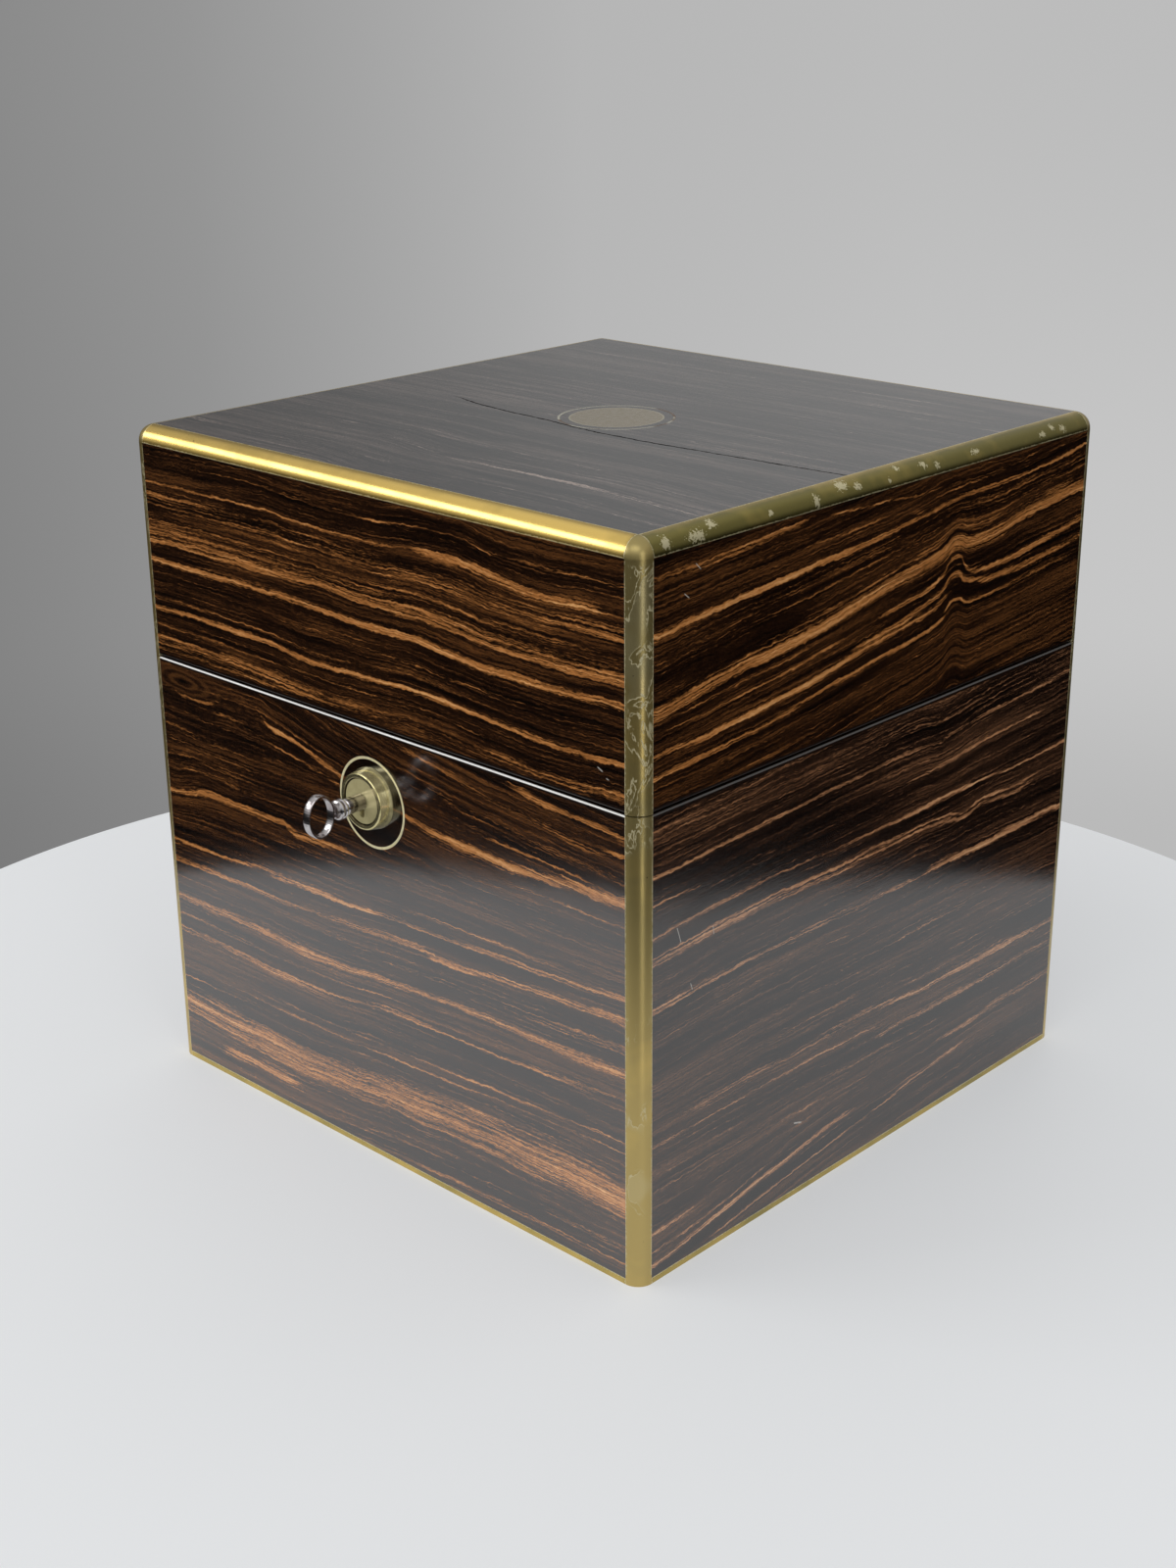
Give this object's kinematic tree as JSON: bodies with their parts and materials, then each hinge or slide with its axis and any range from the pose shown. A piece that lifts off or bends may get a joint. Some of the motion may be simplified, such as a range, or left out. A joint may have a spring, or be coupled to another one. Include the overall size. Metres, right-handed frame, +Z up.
{
  "type": "tantalus",
  "caption": "Square lockable decanter box in dark striped veneer with brass edges: hinged lid, key in its lock, velvet-lined base with stoppered glass decanters.",
  "frame": {"origin": "centre of the underside, on the surface that the box stands on", "axes": "+Z up, the front with the lock looks along -Y, +X to the box's right as seen from the front"},
  "size_m": [0.24, 0.2725, 0.246],
  "materials": {
    "carcass_wood": "bare mahogany, hidden under veneer and lining",
    "striped_veneer": "dark striped veneer, French polished",
    "rim_wood": "dark polished wood",
    "edge_brass": "old lacquered brass, dulled and worn",
    "inlay_brass": "brass polished with the veneer",
    "lock_brass": "brass, hand polished, dulled",
    "screw_brass": "turned brass",
    "key_steel": "polished steel",
    "velvet": "silk velvet over board",
    "baize": "wool baize",
    "decanter_glass": "cut lead glass",
    "stopper_glass": "cut lead glass"
  },
  "bodies": {
    "base": {"base_front_wall": "carcass_wood", "base_back_wall": "carcass_wood", "base_left_wall": "carcass_wood", "base_right_wall": "carcass_wood", "base_bottom_board": "carcass_wood", "base_front_veneer": "striped_veneer", "base_back_veneer": "striped_veneer", "base_left_veneer": "striped_veneer", "base_right_veneer": "striped_veneer", "base_rim_facing": "rim_wood", "base_corner_brass": "edge_brass", "base_foot_brass": "edge_brass", "lock_ring_inlay": "inlay_brass", "lock_barrel": "lock_brass", "lock_case": "lock_brass", "lock_cap": "lock_brass", "hinge_base_leaf_left": "lock_brass", "hinge_base_leaf_right": "lock_brass", "hinge_base_screws": "screw_brass", "lock_screws": "screw_brass", "hinge_pins": "key_steel", "lock_spring": "key_steel", "base_lining": "velvet", "divider_long": "velvet", "divider_cross": "velvet", "floor_pad": "velvet", "underside_baize": "baize", "decanter_front_left": "decanter_glass", "decanter_front_right": "decanter_glass", "decanter_back_left": "decanter_glass", "decanter_back_right": "decanter_glass", "stopper_front_left": "stopper_glass", "stopper_front_right": "stopper_glass", "stopper_back_left": "stopper_glass", "stopper_back_right": "stopper_glass"},
    "lid": {"link_plate": "lock_brass", "lock_links": "lock_brass", "link_screws": "screw_brass", "lid_front_wall": "carcass_wood", "lid_back_wall": "carcass_wood", "lid_left_wall": "carcass_wood", "lid_right_wall": "carcass_wood", "lid_top_board": "carcass_wood", "lid_front_veneer": "striped_veneer", "lid_back_veneer": "striped_veneer", "lid_left_veneer": "striped_veneer", "lid_right_veneer": "striped_veneer", "lid_top_veneer": "striped_veneer", "lid_corner_brass": "edge_brass", "lid_edge_brass": "edge_brass", "lid_rim_facing": "rim_wood", "lid_disc_inlay": "inlay_brass", "lid_ring_inlay": "inlay_brass", "lid_lining": "velvet", "lid_pad": "velvet", "hinge_lid_leaf_left": "lock_brass", "hinge_lid_leaf_right": "lock_brass", "hinge_lid_screws": "screw_brass"},
    "plug": {"lock_plug": "lock_brass"},
    "key": {"key": "key_steel"},
    "bolt": {"lock_bolt": "lock_brass"}
  },
  "joints": [
    {"name": "lid_hinge", "type": "hinge", "parent": "base", "child": "lid", "pos_m": [0, 0.1207, 0.16245], "axis": [-1, 0, 0], "range_deg": [0, 97]},
    {"name": "key_turn", "type": "hinge", "parent": "base", "child": "plug", "pos_m": [0, -0.12, 0.1375], "axis": [0, 1, 0], "range_deg": [0, 360]},
    {"name": "key_withdraw", "type": "slide", "parent": "plug", "child": "key", "axis": [0, -1, 0], "range_m": [0, 0.032]},
    {"name": "bolt_throw", "type": "slide", "parent": "base", "child": "bolt", "axis": [1, 0, 0], "range_m": [0, 0.005]}
  ],
  "couplings": [
    {"joint": "key_turn", "follows": "bolt_throw", "rad_per_m": 1250}
  ]
}
